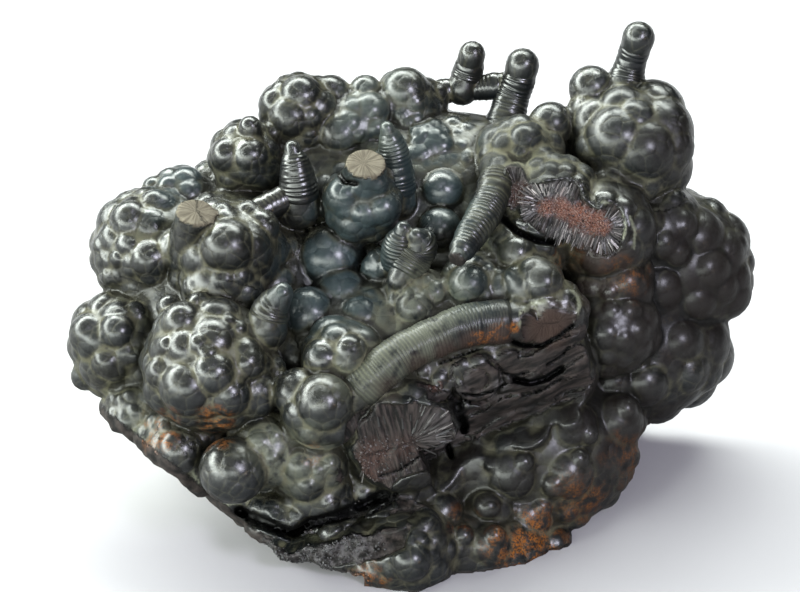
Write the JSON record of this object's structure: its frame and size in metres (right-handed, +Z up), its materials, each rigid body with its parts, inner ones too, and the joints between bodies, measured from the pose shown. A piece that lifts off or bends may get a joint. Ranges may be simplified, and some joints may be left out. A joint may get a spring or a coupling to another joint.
{
  "type": "goethite specimen",
  "caption": "Botryoidal goethite mineral specimen with rounded lumps, stubby stalactites and broken faces on a flat cut base.",
  "frame": {"origin": "middle of the bounding box at its bottom, on the flat base", "axes": "+X along the specimen's width, its longest way; the growth face looks towards -Y and up; +Z up from the flat base"},
  "size_m": [0.1377, 0.0872, 0.0871],
  "materials": {
    "goethite": "dark submetallic, smooth on the lumps and dull on the breaks"
  },
  "bodies": {
    "root": {"goethite_mass": "goethite"}
  },
  "joints": []
}
